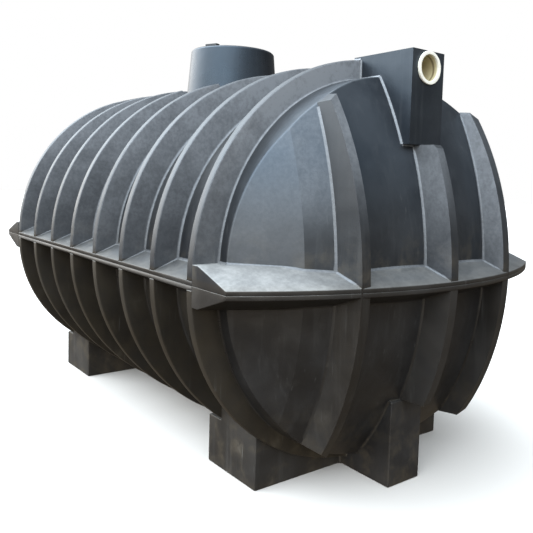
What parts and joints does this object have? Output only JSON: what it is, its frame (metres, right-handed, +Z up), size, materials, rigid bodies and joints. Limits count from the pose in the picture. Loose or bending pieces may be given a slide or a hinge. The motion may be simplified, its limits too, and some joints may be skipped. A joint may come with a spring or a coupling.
{
  "type": "septic tank",
  "caption": "Horizontal ribbed black plastic septic tank with a parting flange, manhole neck with lid, pipe boxes and moulded feet.",
  "frame": {"origin": "on the ground under the middle of the tank, centred across and along it", "axes": "+Z up; Y runs along the tank, with the inlet end at -Y and the outlet end at +Y; X across"},
  "size_m": [1.88, 3.2416, 2.0895],
  "materials": {
    "black_polyethylene": "satin",
    "socket_pvc": "satin"
  },
  "bodies": {
    "root": {"barrel_crown": "black_polyethylene", "barrel_upper_left": "black_polyethylene", "barrel_upper_right": "black_polyethylene", "barrel_keel": "black_polyethylene", "barrel_lower_left": "black_polyethylene", "barrel_lower_right": "black_polyethylene", "hoop_1": "black_polyethylene", "hoop_2": "black_polyethylene", "hoop_3": "black_polyethylene", "hoop_4": "black_polyethylene", "hoop_5": "black_polyethylene", "hoop_6": "black_polyethylene", "hoop_7": "black_polyethylene", "hoop_8": "black_polyethylene", "flange_right_upper": "black_polyethylene", "flange_left_upper": "black_polyethylene", "flange_right_lower": "black_polyethylene", "flange_left_lower": "black_polyethylene", "inlet_end_upper": "black_polyethylene", "outlet_end_upper": "black_polyethylene", "inlet_flange_upper": "black_polyethylene", "outlet_flange_upper": "black_polyethylene", "inlet_ribs_upper": "black_polyethylene", "outlet_ribs_upper": "black_polyethylene", "inlet_box": "black_polyethylene", "outlet_box": "black_polyethylene", "pipe_sockets": "socket_pvc", "inlet_end_lower": "black_polyethylene", "outlet_end_lower": "black_polyethylene", "inlet_flange_lower": "black_polyethylene", "outlet_flange_lower": "black_polyethylene", "inlet_ribs_lower": "black_polyethylene", "outlet_ribs_lower": "black_polyethylene", "inlet_foot": "black_polyethylene", "outlet_foot": "black_polyethylene", "inlet_toe": "black_polyethylene", "outlet_toe": "black_polyethylene", "neck": "black_polyethylene", "lid": "black_polyethylene"}
  },
  "joints": []
}
